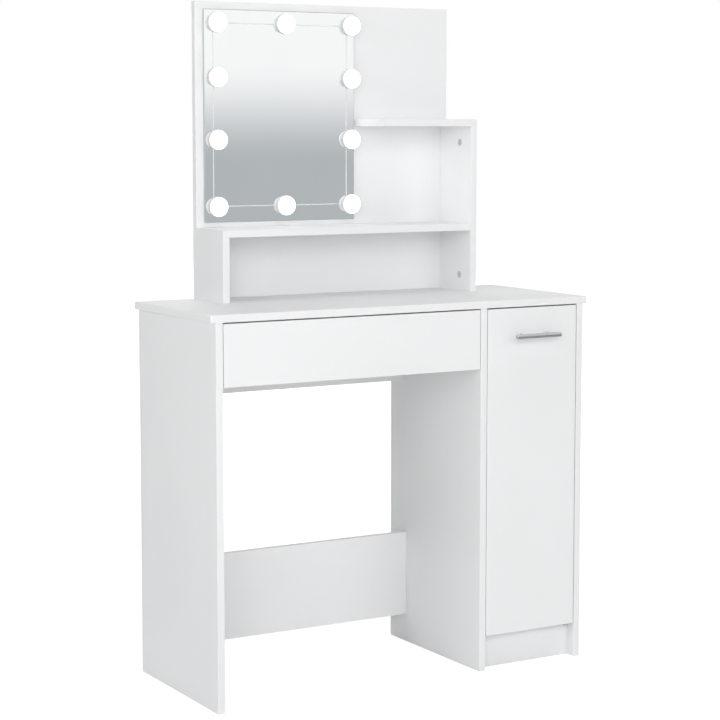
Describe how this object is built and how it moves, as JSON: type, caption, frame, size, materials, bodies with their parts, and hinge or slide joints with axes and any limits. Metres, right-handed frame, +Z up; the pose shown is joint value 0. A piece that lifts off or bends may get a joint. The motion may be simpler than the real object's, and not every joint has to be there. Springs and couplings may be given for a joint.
{
  "type": "vanity table with mirror",
  "caption": "White vanity table with an inset drawer, a narrow side cabinet with a bar-handled door, and an upper unit of stepped shelves with a mirror ringed by round lamps.",
  "frame": {"origin": "on the floor, under the middle of the whole object with its door handle", "axes": "+X to the right as seen from the front, +Y from the front to the back, +Z up"},
  "size_m": [0.865, 0.378, 1.36],
  "materials": {
    "white_board": "smooth white laminate with matching edge band, satin",
    "thin_board": "white-faced hardboard",
    "mirror": "silvered float glass with polished edge",
    "opal_lamp": "opal diffuser, lit from inside",
    "lamp_base": "white moulded base",
    "lamp_wire": "white wire sleeve",
    "runner_steel": "white powder-coated steel strip",
    "nylon": "moulded nylon",
    "catch_plastic": "white moulded magnet catch",
    "cam_zinc": "die-cast zinc, dull",
    "fastener_steel": "zinc-plated steel",
    "pivot_steel": "zinc-plated pressed steel",
    "dowel_wood": "beech",
    "handle_metal": "brushed, satin"
  },
  "bodies": {
    "carcass": {"table_top": "white_board", "left_side_panel": "white_board", "centre_panel": "white_board", "right_side_panel": "white_board", "upper_back_rail": "white_board", "lower_back_rail": "white_board", "cabinet_bottom": "white_board", "plinth": "white_board", "cabinet_shelf": "white_board", "tall_back_panel": "white_board", "unit_left_side": "white_board", "unit_right_side": "white_board", "low_shelf": "white_board", "high_shelf": "white_board", "cabinet_back": "thin_board", "mirror_glass": "mirror", "lamp_dome_1": "opal_lamp", "lamp_dome_2": "opal_lamp", "lamp_dome_3": "opal_lamp", "lamp_dome_4": "opal_lamp", "lamp_dome_5": "opal_lamp", "lamp_dome_6": "opal_lamp", "lamp_dome_7": "opal_lamp", "lamp_dome_8": "opal_lamp", "lamp_dome_9": "opal_lamp", "lamp_dome_10": "opal_lamp", "lamp_bases": "lamp_base", "lamp_wires": "lamp_wire", "cabinet_rail_left": "runner_steel", "cabinet_rail_right": "runner_steel", "cam_locks": "cam_zinc", "cam_bolts": "fastener_steel", "dowels": "dowel_wood", "shelf_pins": "fastener_steel", "panel_screws": "fastener_steel", "hardware_screws": "fastener_steel", "top_pivot_plate": "pivot_steel", "bottom_pivot_plate": "pivot_steel", "pivot_washer": "nylon", "magnet_catch": "catch_plastic"},
    "drawer": {"drawer_front": "white_board", "drawer_left_side": "white_board", "drawer_right_side": "white_board", "drawer_back": "white_board", "drawer_bottom": "thin_board", "drawer_rail_left": "runner_steel", "drawer_rail_right": "runner_steel", "drawer_cam_locks": "cam_zinc", "drawer_cam_bolts": "fastener_steel", "drawer_screws": "fastener_steel"},
    "door": {"door": "white_board", "handle_bar": "handle_metal", "handle_posts": "handle_metal", "door_screws": "fastener_steel", "pivot_bushes": "nylon", "catch_strike": "pivot_steel"},
    "front_roller_left": {"front_roller_left": "nylon"},
    "front_roller_right": {"front_roller_right": "nylon"},
    "rear_roller_left": {"rear_roller_left": "nylon"},
    "rear_roller_right": {"rear_roller_right": "nylon"}
  },
  "joints": [
    {"name": "drawer_slide", "type": "slide", "parent": "carcass", "child": "drawer", "axis": [0, -1, 0], "range_m": [0, 0.2]},
    {"name": "door_hinge", "type": "hinge", "parent": "carcass", "child": "door", "pos_m": [0.3895, -0.1535, 0.4], "axis": [0, 0, 1], "range_deg": [0, 110]},
    {"name": "front_roller_left_turn", "type": "hinge", "parent": "carcass", "child": "front_roller_left", "pos_m": [-0.4014, -0.132, 0.6497], "axis": [1, 0, 0], "range_deg": [0, 1440]},
    {"name": "front_roller_right_turn", "type": "hinge", "parent": "carcass", "child": "front_roller_right", "pos_m": [0.1639, -0.132, 0.6497], "axis": [1, 0, 0], "range_deg": [0, 1440]},
    {"name": "rear_roller_left_turn", "type": "hinge", "parent": "drawer", "child": "rear_roller_left", "pos_m": [-0.4014, 0.091, 0.64855], "axis": [1, 0, 0], "range_deg": [0, 1440]},
    {"name": "rear_roller_right_turn", "type": "hinge", "parent": "drawer", "child": "rear_roller_right", "pos_m": [0.1639, 0.091, 0.64855], "axis": [1, 0, 0], "range_deg": [0, 1440]}
  ],
  "couplings": [
    {"joint": "front_roller_left_turn", "follows": "drawer_slide", "rad_per_m": 125},
    {"joint": "front_roller_right_turn", "follows": "drawer_slide", "rad_per_m": 125},
    {"joint": "rear_roller_left_turn", "follows": "drawer_slide", "rad_per_m": 125},
    {"joint": "rear_roller_right_turn", "follows": "drawer_slide", "rad_per_m": 125}
  ]
}
